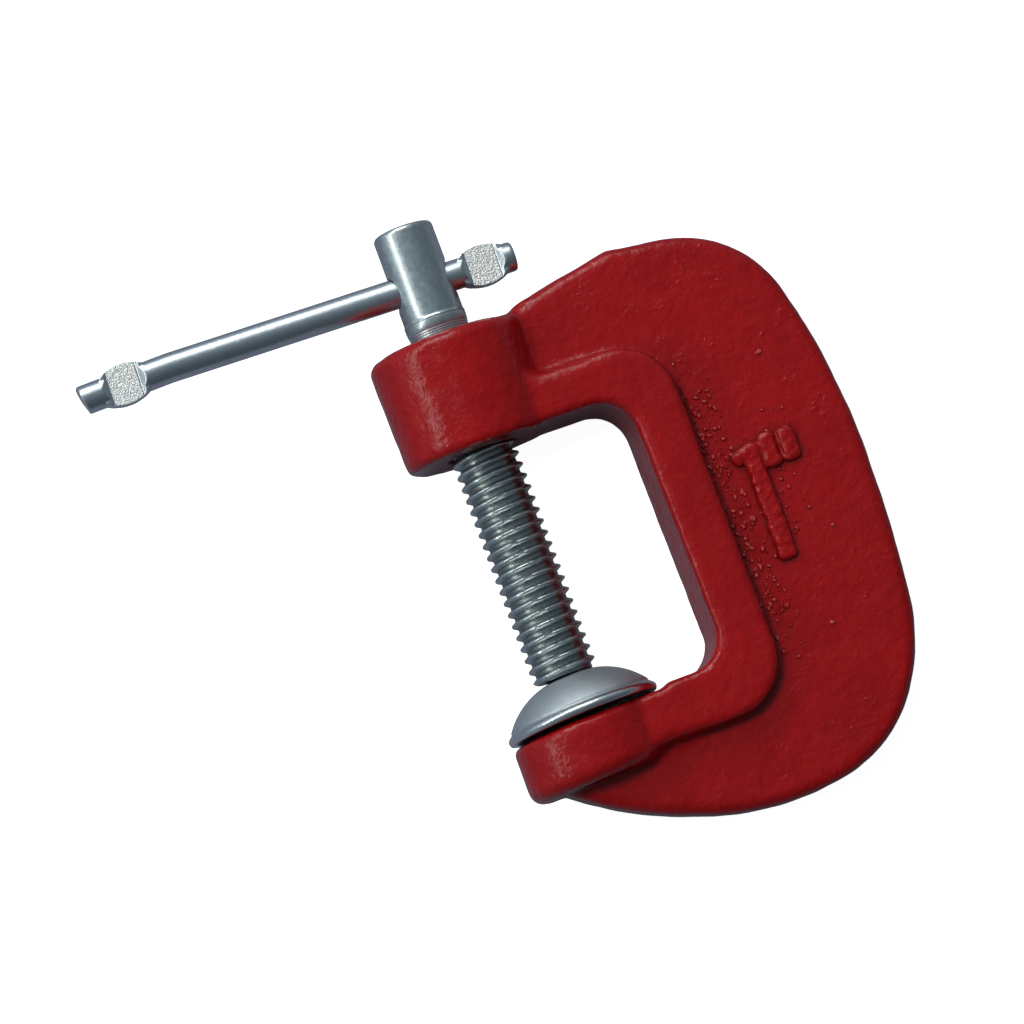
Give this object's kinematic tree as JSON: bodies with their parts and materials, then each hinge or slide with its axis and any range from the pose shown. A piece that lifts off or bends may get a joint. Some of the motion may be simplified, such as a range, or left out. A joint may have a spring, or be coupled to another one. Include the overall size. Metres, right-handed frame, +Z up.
{
  "type": "c clamp",
  "caption": "Small cast C clamp with a threaded screw, sliding tommy bar and riveted swivel pad, lying on its side.",
  "frame": {"origin": "centre of the anvil face, on the screw's axis", "axes": "+Z up, away from the bench that the clamp lies on; +Y along the screw from the anvil face to the handle; +X towards the back of the frame. The clamp lies on its boss and its flange's lower rim, so its mid-plane leans 7.79 degrees down towards +X."},
  "size_m": [0.084, 0.0782, 0.019],
  "materials": {
    "red_enamel": "thick glossy red enamel over a sand-cast surface",
    "zinc_screw": "bright zinc-plated rolled thread",
    "zinc_bar": "bright zinc-plated steel rod",
    "zinc_pad": "bluish zinc-plated pressed steel"
  },
  "bodies": {
    "frame": {"frame": "red_enamel"},
    "swivel_pad": {"swivel_pad": "zinc_pad"},
    "screw": {"screw": "zinc_screw"},
    "tommy_bar": {"tommy_bar": "zinc_bar"}
  },
  "joints": [
    {"name": "screw_travel", "type": "slide", "parent": "frame", "child": "swivel_pad", "axis": [0, 1, 0], "range_m": [0, 0.02751]},
    {"name": "screw_turn", "type": "hinge", "parent": "swivel_pad", "child": "screw", "pos_m": [0, 0.03, 0], "axis": [0, 1, 0], "range_deg": [0, 7020]},
    {"name": "bar_slide", "type": "slide", "parent": "screw", "child": "tommy_bar", "axis": [0.9906, -0.0175, -0.1355], "range_m": [-0.0012, 0.0298]}
  ],
  "couplings": [
    {"joint": "screw_travel", "follows": "screw_turn", "m_per_rad": 0.00022457}
  ]
}
